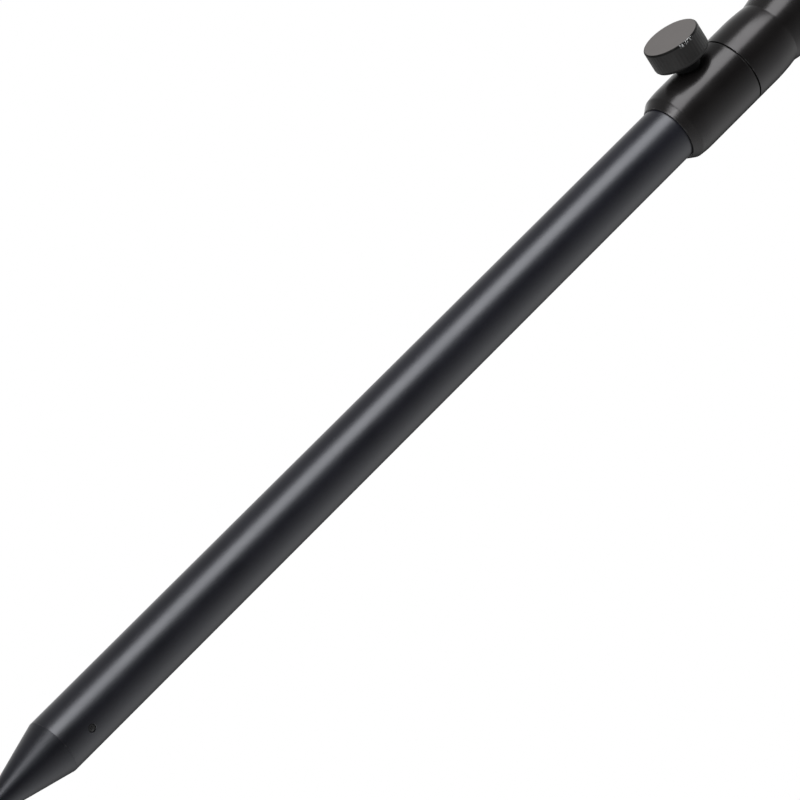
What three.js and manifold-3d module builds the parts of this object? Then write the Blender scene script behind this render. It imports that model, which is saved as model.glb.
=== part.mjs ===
// Telescopic bank stick: ground point, outer tube, thumbscrew collar, sliding inner tube and threaded head.
// Millimetres, +Z up along the stick, origin at the tip of the ground point, stick closed.
// The thumbscrew points along -X, the cross pins lie along Y.

import * as THREE from "three";
import { mergeVertices } from "three/addons/utils/BufferGeometryUtils.js";
import Module from "manifold-3d";

const wasm = await Module();
wasm.setup();

// Facets
const ROUND_SIDES = 48;
const HIDDEN_SIDES = 36;
const SMALL_SIDES = 24;
const SECTION_SIDES = 8;
const ARC_STEPS = 5;
const RING_ARC_STEPS = 24;

// Fits
const BOND_GAP = 0.1;
const SEAT_GAP = 0.1;
const RUN_GAP = 0.2;
const OVERRUN = 2;

// Tubes
const OUTER_TUBE_DIAMETER = 19;
const OUTER_TUBE_WALL = 1;
const BARE_LENGTH = 286.2;
const TUBE_SPACE = 1;
const INNER_TUBE_WALL = 1;

// Ground point
const POINT_HALF_ANGLE = THREE.MathUtils.degToRad(14.2);
const POINT_TIP_RADIUS = 0.8;
const SPIGOT_LENGTH = 18;
const SPIGOT_CHAMFER = 0.8;
const POINT_PIN_HEIGHT = 9.95;
const POINT_PIN_DIAMETER = 2.5;
const PIN_SUNK = 0.2;
const POINT_SEAL_HEIGHT = 14;
const POINT_SEAL_SECTION = 1.6;

// Collar
const COLLAR_LENGTH = 30.5;
const COLLAR_WALL = 2.65;
const COLLAR_LEDGE = 0.2;
const COLLAR_SHOULDER = 8;
const COLLAR_EDGE = 0.3;
const COLLAR_LIP = 1.8;
const COLLAR_LIP_GAP = 0.4;

// Guide bush
const BUSH_FLANGE = 1.5;
const BUSH_SLEEVE = 1.5;

// Thumbscrew
const SCREW_DROP = 6.25;
const STUD_DIAMETER = 5.8;
const STUD_GRIP = 6;
const STUD_TIP_CHAMFER = 0.4;
const SCREW_BUSH_WALL = 1.15;
const SCREW_BUSH_PROUD = 1.75;
const PAD_CLEARANCE = 0.3;
const PAD_DIAMETER = 4.6;
const PAD_THICKNESS = 1.8;
const PAD_STEM_DIAMETER = 2.4;
const PAD_STEM_LENGTH = 3;
const KNOB_DIAMETER = 19.2;
const KNOB_HEIGHT = 8.3;
const KNOB_STANDOFF = 3;
const KNOB_LOWER_ROUND = 1.4;
const KNOB_TOP_EDGE = 0.3;
const KNURL_COUNT = 48;
const KNURL_DEPTH = 0.25;
const KNURL_FOOT_SHARE = 0.3;

// Inner section's lower end
const FLOOR_CLEARANCE = 2;
const PLUG_FLANGE = 2;
const PLUG_LAND = 20;
const PLUG_BARREL = 14;
const PLUG_CHAMFER = 0.6;
const GUIDE_RING_HEIGHT = 8;
const GUIDE_RING_THICKNESS = 2.1;
const GUIDE_RING_SPLIT = 1.5;
const PLUG_PIN_DIAMETER = 2;
const PLUG_PIN_HEIGHT = 7;

// Head
const WASHER_THICKNESS = 0.4;
const WASHER_INSET = 0.35;
const HEAD_SPIGOT = 16;
const HEAD_PIN_DIAMETER = 2.5;
const HEAD_PIN_DROP = 8;
const HEAD_STRAIGHT = 9.5;
const HEAD_NECK_HEIGHT = 18.9;
const HEAD_NECK_INSET = 0.7;
const HEAD_FLARE_LENGTH = 7;
const HEAD_FLARE_OUTSET = 1.25;
const HEAD_BAND_LENGTH = 10;
const HEAD_RIM_ROUND = 1.2;
const HEAD_LOWER_EDGE = 0.3;
const SOCKET_MINOR_DIAMETER = 8.4;
const SOCKET_DEPTH = 15;
const SOCKET_CHAMFER = 0.7;
const INSERT_WALL = 1.8;
const INSERT_FLANGE = 1.2;
const INSERT_FLANGE_OUTSET = 1.2;
const HEAD_BORE_RELIEF = 1;

// Radii that follow
const outerRadius = OUTER_TUBE_DIAMETER / 2;
const outerBore = outerRadius - OUTER_TUBE_WALL;
const innerRadius = outerBore - TUBE_SPACE;
const innerBore = innerRadius - INNER_TUBE_WALL;
const collarRadius = outerRadius + COLLAR_WALL;
const collarBore = outerRadius + BOND_GAP;
const guideBore = innerRadius + RUN_GAP;
const studRadius = STUD_DIAMETER / 2;
const screwBushBore = studRadius + RUN_GAP;
const screwBushRadius = screwBushBore + SCREW_BUSH_WALL;
const knobRadius = KNOB_DIAMETER / 2;
const plugRadius = innerBore - BOND_GAP;
const guideRingRadius = outerBore - RUN_GAP;
const guideRingBore = guideRingRadius - GUIDE_RING_THICKNESS;
const socketRadius = SOCKET_MINOR_DIAMETER / 2;
const insertRadius = socketRadius + INSERT_WALL;
const insertFlangeRadius = insertRadius + INSERT_FLANGE_OUTSET;

// Heights that follow
const pointBase = outerRadius / Math.tan(POINT_HALF_ANGLE)
  - POINT_TIP_RADIUS * (1 / Math.sin(POINT_HALF_ANGLE) - 1);
const spigotTop = pointBase + SPIGOT_LENGTH;
const collarBottom = pointBase + BARE_LENGTH;
const collarTop = collarBottom + COLLAR_LENGTH;
const lipUnderside = collarTop - COLLAR_LIP;
const wiperSection = collarBore - BOND_GAP - guideBore;
const wiperBottom = lipUnderside - SEAT_GAP - wiperSection;
const bushTop = wiperBottom - SEAT_GAP;
const outerTubeTop = bushTop - BUSH_FLANGE - SEAT_GAP;
const screwHeight = outerTubeTop - SCREW_DROP;
const washerBottom = collarTop + SEAT_GAP;
const headBottom = washerBottom + WASHER_THICKNESS + SEAT_GAP;
const innerTubeTop = headBottom - SEAT_GAP;
const flareTop = headBottom + HEAD_NECK_HEIGHT + HEAD_FLARE_LENGTH;
const headTop = flareTop + HEAD_BAND_LENGTH;
const plugBottom = spigotTop + FLOOR_CLEARANCE;
const grooveHeight = GUIDE_RING_HEIGHT + 2 * SEAT_GAP;
const lowerGroove = plugBottom + PLUG_FLANGE;
const upperGroove = lowerGroove + grooveHeight + PLUG_LAND;
const innerTubeBottom = upperGroove + grooveHeight + PLUG_FLANGE + SEAT_GAP;

// Distances out from the stick's axis along the thumbscrew
const padFace = innerRadius + PAD_CLEARANCE;
const padBack = padFace + PAD_THICKNESS;
const studTip = padBack + SEAT_GAP;
const screwBushInner = outerBore + SEAT_GAP;
const screwBushOuter = collarRadius + SCREW_BUSH_PROUD;
const knobUnderside = collarRadius + KNOB_STANDOFF;
const knobTop = knobUnderside + KNOB_HEIGHT;

// Materials
const satinBlack = { color: 0x24262b, roughness: 0.42, metalness: 0.55 };
const glossBlack = { color: 0x1d1c1e, roughness: 0.28, metalness: 0.3 };
const knobGrey = { color: 0x5a5653, roughness: 0.7, metalness: 0.1 };
const bareAluminium = { color: 0xb4b7ba, roughness: 0.35, metalness: 0.9 };
const steel = { color: 0x8d9094, roughness: 0.35, metalness: 0.95 };
const blackSteel = { color: 0x2a2a2c, roughness: 0.45, metalness: 0.8 };
const brass = { color: 0xb8963e, roughness: 0.3, metalness: 0.95 };
const whiteNylon = { color: 0xd9d7cf, roughness: 0.55, metalness: 0 };
const blackNylon = { color: 0x2b2b2d, roughness: 0.6, metalness: 0 };
const rubber = { color: 0x161616, roughness: 0.85, metalness: 0 };

// A revolved solid from [radius, height] points that run up the outside
function turned(points, sides = ROUND_SIDES) {
  const profile = points.map(([radius, height]) => new THREE.Vector2(radius, height));
  return new THREE.LatheGeometry(profile, sides).rotateX(Math.PI / 2);
}

// A revolved hollow: the outside's points run up, the bore's points run down, and the outline closes
function turnedHollow(points, sides = ROUND_SIDES) {
  return turned([...points, points[0]], sides);
}

// Points of an elliptic arc about a centre, from one angle to another in degrees, 0 pointing outwards
function arc(radius, height, across, along, from, to, steps = ARC_STEPS) {
  return Array.from({ length: steps + 1 }, (_, i) => {
    const angle = THREE.MathUtils.degToRad(from + (to - from) * i / steps);
    return [radius + across * Math.cos(angle), height + along * Math.sin(angle)];
  });
}

// A round bar along Z
function bar(radius, from, to, sides = SMALL_SIDES) {
  return turned([[0, from], [radius, from], [radius, to], [0, to]], sides);
}

// A round bar along Y, centred on the stick's axis
function crossBar(radius, length, height) {
  return new THREE.CylinderGeometry(radius, radius, length, SMALL_SIDES).translate(0, 0, height);
}

// A rubber ring of round section that fills the space between two radii
function rubberRing(inside, outside, bottom) {
  const section = (outside - inside) / 2;
  const centre = (outside + inside) / 2;
  const points = arc(centre, bottom + section, section, section, 0, 360, SECTION_SIDES);
  return turned([...points.slice(0, -1), points[0]], HIDDEN_SIDES);
}

// A slotted ring or pin along Z, its slot on the +X side
function slottedRing(bore, radius, slot, height) {
  const half = Math.asin(slot / (bore + radius));
  const shape = new THREE.Shape();
  shape.absarc(0, 0, radius, half, 2 * Math.PI - half, false);
  shape.absarc(0, 0, bore, 2 * Math.PI - half, half, true);
  shape.closePath();
  return new THREE.ExtrudeGeometry(shape, { depth: height, bevelEnabled: false, curveSegments: RING_ARC_STEPS });
}

// Turns a shape that was built along +Z so that it points out along the thumbscrew
function alongScrew(geometry) {
  return geometry.rotateY(-Math.PI / 2).translate(0, 0, screwHeight);
}

// The solid of a closed geometry, with shared vertices merged and flat triangles at the poles left out
function solid(geometry) {
  const bare = new THREE.BufferGeometry();
  bare.setAttribute("position", geometry.getAttribute("position").clone());
  if (geometry.index) {
    bare.setIndex(geometry.index.clone());
  }
  const merged = mergeVertices(bare);
  const corners = merged.index.array;
  const triangles = [];
  for (let i = 0; i < corners.length; i += 3) {
    const [a, b, c] = corners.slice(i, i + 3);
    if (a !== b && b !== c && c !== a) {
      triangles.push(a, b, c);
    }
  }
  return new wasm.Manifold(new wasm.Mesh({
    numProp: 3,
    vertProperties: new Float32Array(merged.getAttribute("position").array),
    triVerts: new Uint32Array(triangles),
  }));
}

function geometryOf(manifold) {
  const mesh = manifold.getMesh();
  const geometry = new THREE.BufferGeometry();
  geometry.setAttribute("position", new THREE.BufferAttribute(mesh.vertProperties, mesh.numProp));
  geometry.setIndex(new THREE.BufferAttribute(mesh.triVerts, 1));
  geometry.computeVertexNormals();
  return geometry;
}

function cut(geometry, ...cutters) {
  return geometryOf(cutters.reduce((left, cutter) => left.subtract(solid(cutter)), solid(geometry)));
}

function join(geometry, ...others) {
  return geometryOf(others.reduce((left, other) => left.add(solid(other)), solid(geometry)));
}

// A piece's mesh: its name is the node's name
function piece(name, geometry, look) {
  const mesh = new THREE.Mesh(geometry, new THREE.MeshStandardMaterial(look));
  mesh.name = name;
  return mesh;
}

// Ground point: a solid cone with a blunt tip, and a grooved spigot that fills the tube's end
function groundPoint() {
  const tipAngle = THREE.MathUtils.radToDeg(POINT_HALF_ANGLE);
  const spigotRadius = outerBore - BOND_GAP;
  const grooveFloor = outerBore - BOND_GAP - POINT_SEAL_SECTION - SEAT_GAP;
  const grooveBottom = pointBase + POINT_SEAL_HEIGHT;
  const grooveTop = grooveBottom + POINT_SEAL_SECTION + 2 * SEAT_GAP;
  const outline = [
    ...arc(0, POINT_TIP_RADIUS, POINT_TIP_RADIUS, POINT_TIP_RADIUS, -90, -tipAngle),
    [outerRadius, pointBase],
    [spigotRadius, pointBase],
    [spigotRadius, grooveBottom],
    [grooveFloor, grooveBottom],
    [grooveFloor, grooveTop],
    [spigotRadius, grooveTop],
    [spigotRadius, spigotTop - SPIGOT_CHAMFER],
    [spigotRadius - SPIGOT_CHAMFER, spigotTop],
    [0, spigotTop],
  ];
  const pinHole = crossBar(POINT_PIN_DIAMETER / 2 + BOND_GAP, OUTER_TUBE_DIAMETER, pointBase + POINT_PIN_HEIGHT);
  return cut(turned(outline), pinHole);
}

// Plain pin across the tube and the spigot, its ends just below the tube's surface
function pointPin() {
  return crossBar(POINT_PIN_DIAMETER / 2, OUTER_TUBE_DIAMETER - 2 * PIN_SUNK, pointBase + POINT_PIN_HEIGHT);
}

function pointSeal() {
  const outside = outerBore - BOND_GAP;
  return rubberRing(outside - POINT_SEAL_SECTION, outside, pointBase + POINT_SEAL_HEIGHT + SEAT_GAP);
}

// Outer tube, holed for the point's pin and for the thumbscrew's bush
function outerTube() {
  const bottom = pointBase + SEAT_GAP;
  const tube = turnedHollow([
    [outerBore, bottom],
    [outerRadius, bottom],
    [outerRadius, outerTubeTop],
    [outerBore, outerTubeTop],
  ]);
  const pinHole = crossBar(
    POINT_PIN_DIAMETER / 2 + BOND_GAP,
    OUTER_TUBE_DIAMETER + 2 * OVERRUN,
    pointBase + POINT_PIN_HEIGHT,
  );
  return cut(tube, pinHole, screwHole());
}

function screwHole() {
  return alongScrew(bar(screwBushRadius + BOND_GAP, 0, collarRadius + OVERRUN));
}

// Collar: a rounded shoulder below, a lip above that traps the wiper ring and the guide bush
function lockingCollar() {
  const lipBore = innerRadius + COLLAR_LIP_GAP;
  const ledgeRadius = outerRadius + COLLAR_LEDGE;
  const shoulder = arc(
    ledgeRadius,
    collarBottom + COLLAR_SHOULDER,
    collarRadius - ledgeRadius,
    COLLAR_SHOULDER,
    -90,
    0,
  );
  const body = turnedHollow([
    [collarBore, collarBottom],
    ...shoulder,
    [collarRadius, collarTop - COLLAR_EDGE],
    [collarRadius - COLLAR_EDGE, collarTop],
    [lipBore, collarTop],
    [lipBore, lipUnderside],
    [collarBore, lipUnderside],
  ]);
  return cut(body, screwHole());
}

function guideBush() {
  const sleeveRadius = outerBore - BOND_GAP;
  const flangeRadius = collarBore - BOND_GAP;
  const flangeBottom = bushTop - BUSH_FLANGE;
  return turnedHollow([
    [guideBore, flangeBottom - BUSH_SLEEVE],
    [sleeveRadius, flangeBottom - BUSH_SLEEVE],
    [sleeveRadius, flangeBottom],
    [flangeRadius, flangeBottom],
    [flangeRadius, bushTop],
    [guideBore, bushTop],
  ], HIDDEN_SIDES);
}

function wiperRing() {
  return rubberRing(guideBore, guideBore + wiperSection, wiperBottom);
}

// Bush that carries the thumbscrew's thread through the collar and the tube
function screwBush() {
  return alongScrew(turnedHollow([
    [screwBushBore, screwBushInner],
    [screwBushRadius, screwBushInner],
    [screwBushRadius, screwBushOuter],
    [screwBushBore, screwBushOuter],
  ], SMALL_SIDES));
}

// Nylon pad that bears on the inner tube, its stem turning in the stud's end
function clampPad() {
  const padRadius = PAD_DIAMETER / 2;
  const stemRadius = PAD_STEM_DIAMETER / 2;
  return alongScrew(turned([
    [0, padFace],
    [padRadius, padFace],
    [padRadius, padBack],
    [stemRadius, padBack],
    [stemRadius, padBack + PAD_STEM_LENGTH],
    [0, padBack + PAD_STEM_LENGTH],
  ], SMALL_SIDES));
}

function thumbStud() {
  const stemBore = PAD_STEM_DIAMETER / 2 + RUN_GAP;
  const boreEnd = padBack + PAD_STEM_LENGTH + RUN_GAP;
  const studTop = knobUnderside + STUD_GRIP;
  return alongScrew(turned([
    [0, boreEnd],
    [stemBore, boreEnd],
    [stemBore, studTip],
    [studRadius - STUD_TIP_CHAMFER, studTip],
    [studRadius, studTip + STUD_TIP_CHAMFER],
    [studRadius, studTop],
    [0, studTop],
  ], SMALL_SIDES));
}

// Knob: a knurled band between a rounded lower rim and a flat top, bored for the stud
function thumbKnob() {
  const rootRadius = knobRadius - KNURL_DEPTH;
  const lowerRound = arc(
    rootRadius - KNOB_LOWER_ROUND,
    knobUnderside + KNOB_LOWER_ROUND,
    KNOB_LOWER_ROUND,
    KNOB_LOWER_ROUND,
    -90,
    0,
  );
  const core = turned([
    [0, knobUnderside],
    ...lowerRound,
    [rootRadius, knobTop - KNOB_TOP_EDGE],
    [rootRadius - KNOB_TOP_EDGE, knobTop],
    [0, knobTop],
  ], KNURL_COUNT);
  const bandBottom = knobUnderside + KNOB_LOWER_ROUND;
  const bandTop = knobTop - KNOB_TOP_EDGE - KNURL_DEPTH;
  const pitch = 2 * Math.PI / KNURL_COUNT;
  const outline = [];
  for (let i = 0; i < KNURL_COUNT; i += 1) {
    const steps = [
      [rootRadius, 0],
      [knobRadius, KNURL_FOOT_SHARE],
      [knobRadius, 1 - KNURL_FOOT_SHARE],
    ];
    for (const [radius, share] of steps) {
      const angle = (i + share) * pitch;
      outline.push(new THREE.Vector2(radius * Math.cos(angle), radius * Math.sin(angle)));
    }
  }
  const band = new THREE.ExtrudeGeometry(new THREE.Shape(outline), {
    depth: bandTop - bandBottom,
    bevelEnabled: false,
  }).translate(0, 0, bandBottom);
  const bore = bar(studRadius + BOND_GAP, knobUnderside - OVERRUN, knobUnderside + STUD_GRIP + SEAT_GAP);
  return alongScrew(cut(join(core, band), bore));
}

function guideRing(groove) {
  return slottedRing(guideRingBore, guideRingRadius, GUIDE_RING_SPLIT, GUIDE_RING_HEIGHT)
    .translate(0, 0, groove + SEAT_GAP);
}

// Nylon plug: a grooved spool below the tube carries the guide rings, a barrel fills the tube's end
function endPlug() {
  const flangeRadius = innerRadius - SEAT_GAP;
  const grooveFloor = guideRingBore - RUN_GAP;
  const barrelTop = innerTubeBottom + PLUG_BARREL;
  const outline = [
    [0, plugBottom],
    [flangeRadius - PLUG_CHAMFER, plugBottom],
    [flangeRadius, plugBottom + PLUG_CHAMFER],
    [flangeRadius, lowerGroove],
    [grooveFloor, lowerGroove],
    [grooveFloor, lowerGroove + grooveHeight],
    [flangeRadius, lowerGroove + grooveHeight],
    [flangeRadius, upperGroove],
    [grooveFloor, upperGroove],
    [grooveFloor, upperGroove + grooveHeight],
    [flangeRadius, upperGroove + grooveHeight],
    [flangeRadius, innerTubeBottom - SEAT_GAP],
    [plugRadius, innerTubeBottom - SEAT_GAP],
    [plugRadius, barrelTop - PLUG_CHAMFER],
    [plugRadius - PLUG_CHAMFER, barrelTop],
    [0, barrelTop],
  ];
  const pinHole = crossBar(
    PLUG_PIN_DIAMETER / 2 + BOND_GAP,
    2 * innerRadius,
    innerTubeBottom + PLUG_PIN_HEIGHT,
  );
  return cut(turned(outline, HIDDEN_SIDES), pinHole);
}

function plugPin() {
  return crossBar(PLUG_PIN_DIAMETER / 2, 2 * (innerRadius - PIN_SUNK), innerTubeBottom + PLUG_PIN_HEIGHT);
}

// Inner tube, holed for the pins of the plug and of the head
function innerTube() {
  const tube = turnedHollow([
    [innerBore, innerTubeBottom],
    [innerRadius, innerTubeBottom],
    [innerRadius, innerTubeTop],
    [innerBore, innerTubeTop],
  ]);
  const holeLength = 2 * (innerRadius + OVERRUN);
  return cut(
    tube,
    crossBar(PLUG_PIN_DIAMETER / 2 + BOND_GAP, holeLength, innerTubeBottom + PLUG_PIN_HEIGHT),
    crossBar(HEAD_PIN_DIAMETER / 2 + BOND_GAP, holeLength, headBottom - HEAD_PIN_DROP),
  );
}

function headWasher() {
  const bore = innerRadius + BOND_GAP;
  const radius = collarRadius - WASHER_INSET;
  return turnedHollow([
    [bore, washerBottom],
    [radius, washerBottom],
    [radius, washerBottom + WASHER_THICKNESS],
    [bore, washerBottom + WASHER_THICKNESS],
  ]);
}

// Head: a spigot in the inner tube, a side that curves in to the neck, a flared band, a stepped bore
function head() {
  const spigotRadius = innerBore - BOND_GAP;
  const curveLength = HEAD_NECK_HEIGHT - HEAD_STRAIGHT;
  const curveRadius = (curveLength ** 2 + HEAD_NECK_INSET ** 2) / (2 * HEAD_NECK_INSET);
  const curveAngle = THREE.MathUtils.radToDeg(Math.asin(curveLength / curveRadius));
  const curve = arc(
    collarRadius - curveRadius,
    headBottom + HEAD_STRAIGHT,
    curveRadius,
    curveRadius,
    0,
    curveAngle,
  );
  const neckRadius = collarRadius - HEAD_NECK_INSET;
  const bandRadius = neckRadius + HEAD_FLARE_OUTSET;
  const insertBore = insertRadius + BOND_GAP;
  const flangeBore = insertFlangeRadius + BOND_GAP;
  const flangeSeat = headTop - INSERT_FLANGE - SEAT_GAP;
  const boreEnd = headTop - SOCKET_DEPTH - HEAD_BORE_RELIEF;
  const outline = [
    [0, headBottom - HEAD_SPIGOT],
    [spigotRadius - PLUG_CHAMFER, headBottom - HEAD_SPIGOT],
    [spigotRadius, headBottom - HEAD_SPIGOT + PLUG_CHAMFER],
    [spigotRadius, headBottom],
    [collarRadius - HEAD_LOWER_EDGE, headBottom],
    [collarRadius, headBottom + HEAD_LOWER_EDGE],
    ...curve,
    [bandRadius, flareTop],
    ...arc(bandRadius - HEAD_RIM_ROUND, headTop - HEAD_RIM_ROUND, HEAD_RIM_ROUND, HEAD_RIM_ROUND, 0, 90),
    [flangeBore, headTop],
    [flangeBore, flangeSeat],
    [insertBore, flangeSeat],
    [insertBore, boreEnd],
    [0, boreEnd],
  ];
  const pinHole = crossBar(HEAD_PIN_DIAMETER / 2 + BOND_GAP, 2 * innerRadius, headBottom - HEAD_PIN_DROP);
  return cut(turned(outline), pinHole);
}

function headPin() {
  return crossBar(HEAD_PIN_DIAMETER / 2, 2 * (innerRadius - PIN_SUNK), headBottom - HEAD_PIN_DROP);
}

// Flanged brass insert with the socket for a rod rest or an alarm
function headInsert() {
  return turnedHollow([
    [socketRadius, headTop - SOCKET_DEPTH],
    [insertRadius, headTop - SOCKET_DEPTH],
    [insertRadius, headTop - INSERT_FLANGE],
    [insertFlangeRadius, headTop - INSERT_FLANGE],
    [insertFlangeRadius, headTop],
    [socketRadius + SOCKET_CHAMFER, headTop],
    [socketRadius, headTop - SOCKET_CHAMFER],
  ]);
}

const groundSection = new THREE.Group().add(
  piece("ground_point", groundPoint(), satinBlack),
  piece("point_pin", pointPin(), blackSteel),
  piece("point_seal", pointSeal(), rubber),
  piece("outer_tube", outerTube(), satinBlack),
  piece("locking_collar", lockingCollar(), glossBlack),
  piece("guide_bush", guideBush(), whiteNylon),
  piece("wiper_ring", wiperRing(), rubber),
  piece("screw_bush", screwBush(), blackSteel),
);

const thumbscrew = new THREE.Group().add(
  piece("clamp_pad", clampPad(), whiteNylon),
  piece("thumb_stud", thumbStud(), blackSteel),
  piece("thumb_knob", thumbKnob(), knobGrey),
);

const innerSection = new THREE.Group().add(
  piece("guide_ring_lower", guideRing(lowerGroove), whiteNylon),
  piece("guide_ring_upper", guideRing(upperGroove), whiteNylon),
  piece("end_plug", endPlug(), blackNylon),
  piece("plug_pin", plugPin(), steel),
  piece("inner_tube", innerTube(), bareAluminium),
  piece("head_washer", headWasher(), rubber),
  piece("head", head(), glossBlack),
  piece("head_pin", headPin(), steel),
  piece("head_insert", headInsert(), brass),
);

const bankStick = new THREE.Group().add(groundSection, thumbscrew, innerSection);

export default bankStick;
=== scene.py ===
"""The looks of a telescopic bank stick: its turned, drawn, knurled and threaded pieces and their finishes."""

import math

import bmesh
import bpy
from bpy.props import FloatProperty, FloatVectorProperty, IntProperty, PointerProperty
from mathutils import Matrix, Vector


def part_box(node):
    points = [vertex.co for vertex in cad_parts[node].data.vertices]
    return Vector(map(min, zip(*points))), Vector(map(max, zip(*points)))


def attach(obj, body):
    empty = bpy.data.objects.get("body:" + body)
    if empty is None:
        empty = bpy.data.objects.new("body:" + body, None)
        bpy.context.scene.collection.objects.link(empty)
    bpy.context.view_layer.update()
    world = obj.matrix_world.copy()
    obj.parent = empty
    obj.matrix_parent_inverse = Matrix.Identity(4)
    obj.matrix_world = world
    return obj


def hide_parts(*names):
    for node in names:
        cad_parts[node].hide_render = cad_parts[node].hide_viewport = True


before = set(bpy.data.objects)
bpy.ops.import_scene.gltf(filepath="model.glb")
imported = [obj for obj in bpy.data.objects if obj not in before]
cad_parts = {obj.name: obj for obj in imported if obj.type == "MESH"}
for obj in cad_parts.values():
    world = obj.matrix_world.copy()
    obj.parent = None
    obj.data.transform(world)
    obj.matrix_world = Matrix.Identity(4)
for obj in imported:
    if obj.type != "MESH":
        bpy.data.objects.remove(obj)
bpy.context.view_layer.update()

bl_info = {
    "name": "Bank Stick",
    "version": (1, 0, 0),
    "blender": (4, 5, 0),
    "location": "3D View > Sidebar > Bank Stick",
    "description": "Builds a telescopic bank stick on its packed part",
    "category": "Object",
}

# Points closer than this are one, and edges sharper than this are shaded sharp
MERGE = 2e-6
SHARP = math.radians(28)

# Steps in a full turn of the small round pieces, the tent and the floor
HOLE_STEPS = 48
STUD_STEPS = 64
BUSH_STEPS = 96
TENT_STEPS = 64
FLOOR_STEPS = 96

# A holding point's distance from its corner, a share of the rounding and a gap, and the room left beyond
HOLD_SHARE = 1.5
HOLD_GAP = 5 * MERGE
HOLD_ROOM = 20 * MERGE

# Where a thread's root and its crest begin and end, in shares of its pitch
ROOT_SHARES = (0.0, 0.15)
CREST_SHARES = (0.5, 0.65)

# Names of the two shader node groups
GRAIN = "Machined Grain"
WEAR = "Edge Wear"

# How deep the machining lines and the moulded skin are for the shading
LINE_DEPTH = 0.00002
SKIN_DEPTH = 0.00003

WHITE = (1.0, 1.0, 1.0)

# The surround that reflections see: a direction in degrees from the camera's side, and its brightness
TENT_LEVELS = (
    (-180, 1.5),
    (-155, 0.95),
    (-120, 0.36),
    (-90, 0.26),
    (-20, 0.08),
    (5, 0.0),
    (20, 0.05),
    (45, 0.32),
    (70, 0.62),
    (95, 0.95),
    (118, 0.8),
    (140, 0.25),
    (160, 0.0),
    (180, 0.0),
)


def length(name, description, default):
    """A size in metres."""
    return FloatProperty(
        name=name,
        description=description,
        default=default,
        min=0,
        unit="LENGTH",
        subtype="DISTANCE",
        precision=5,
    )


def place(name, description, default):
    """A place in metres."""
    return FloatVectorProperty(
        name=name, description=description, default=default, size=3, unit="LENGTH", subtype="TRANSLATION"
    )


def colour(name, description, default):
    """A linear colour."""
    return FloatVectorProperty(
        name=name, description=description, default=default, min=0, max=1, size=3, subtype="COLOR"
    )


def share(name, description, default):
    """A number from 0 to 1."""
    return FloatProperty(name=name, description=description, default=default, min=0, max=1, subtype="FACTOR")


def angle(name, description, degrees):
    """An angle, given in degrees and kept in radians."""
    return FloatProperty(
        name=name, description=description, default=math.radians(degrees), unit="ROTATION", subtype="ANGLE"
    )


def power(name, description, default):
    """A lamp's power in watts."""
    return FloatProperty(name=name, description=description, default=default, min=0, unit="POWER")


def count(name, description, default, least):
    """A whole number."""
    return IntProperty(name=name, description=description, default=default, min=least)


class StickSizes(bpy.types.PropertyGroup):
    round_steps: count("Round steps", "Steps in a full turn", 160, 24)
    corner_steps: count("Corner steps", "Steps in a rounded corner", 4, 1)
    edge_break: length("Edge break", "Rounding of a machined edge", 0.00012)
    bond_gap: length("Bond gap", "Gap between pieces that are glued or pinned together", 0.0001)
    tube_wall: length("Tube wall", "Wall of both tubes", 0.001)
    tube_round: length("Tube round", "Rounding of the outer tube's upper end", 0.00004)
    cone: angle("Cone", "Half angle of the ground point's cone", 14.2)
    tip_round: length("Tip round", "Rounding of the point's blunt tip", 0.0005)
    spigot: length("Spigot", "Length of the point inside the tube", 0.018)
    spigot_round: length("Spigot round", "Rounding at the end of the point's and the head's spigot", 0.00048)
    point_seam: length("Point seam", "Gap between the cone and the tube", 0.00003)
    seam_round: length("Seam round", "Rounding of the two edges at that gap", 0.00002)
    pin_sink: length("Pin sink", "Chamfer round the hole of the point's pin", 0.0001)
    pin_dish: length("Pin dish", "Depth of the dished end of the point's pin", 0.00035)
    pin_flat: length("Pin flat", "Radius of the flat in the middle of the dish", 0.00045)
    wiper_round: share("Wiper round", "Rounding of the wiper ring, as a share of half its section", 0.9)


class CollarSizes(bpy.types.PropertyGroup):
    foot: length("Foot", "Width of the flat foot on the lower end of the collar", 0.00045)
    foot_round: length("Foot round", "Rounding of the foot's outer edge", 0.0001)
    crease: length("Crease", "Height of the crease that rings the shoulder", 0.0028)
    crease_inset: length("Crease inset", "How far the crease lies inside the collar's side", 0.00038)
    crease_round: length("Crease round", "Rounding of the crease", 0.0003)
    rise: length("Rise", "Height of the shoulder's upper corner", 0.0062)
    rise_round: length("Rise round", "Rounding of the shoulder's upper corner", 0.0016)
    lip: length("Lip", "Thickness of the lip over the wiper", 0.0018)
    lip_gap: length("Lip gap", "Gap between the lip and the inner tube", 0.0004)


class ThumbscrewSizes(bpy.types.PropertyGroup):
    knurls: count("Knurls", "Grooves round the knob", 48, 8)
    knurl_depth: length("Knurl depth", "Depth of a groove", 0.0001)
    knurl_end: length("Knurl end", "Run-out at each end of a groove", 0.00025)
    lower_round: length("Lower round", "Room below the grooves for the lower rim's rounding", 0.0014)
    round_fill: share("Round fill", "Part of that room which the rounding takes", 0.98)
    top_round: length("Top round", "Rounding of the knob's upper rim", 0.0005)
    grip: length("Grip", "Depth of the knob's bore for the stud", 0.0061)
    pitch: length("Pitch", "Pitch of the stud's thread", 0.001)
    thread_depth: length("Thread depth", "Depth of the stud's thread", 0.0005)
    run_out: length("Run-out", "Length of the taper at each end of the stud", 0.0004)
    undercut: length("Undercut", "How far the tapers begin inside the thread's root", 0.0001)
    tip_inset: length("Tip inset", "How far the stud's tip lies inside the root", 0.0004)
    end_inset: length("End inset", "How far the stud's other end lies inside the root", 0.0003)
    stem_share: share("Stem share", "Hole for the pad's stem, as a share of the pad's radius", 0.6)


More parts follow.
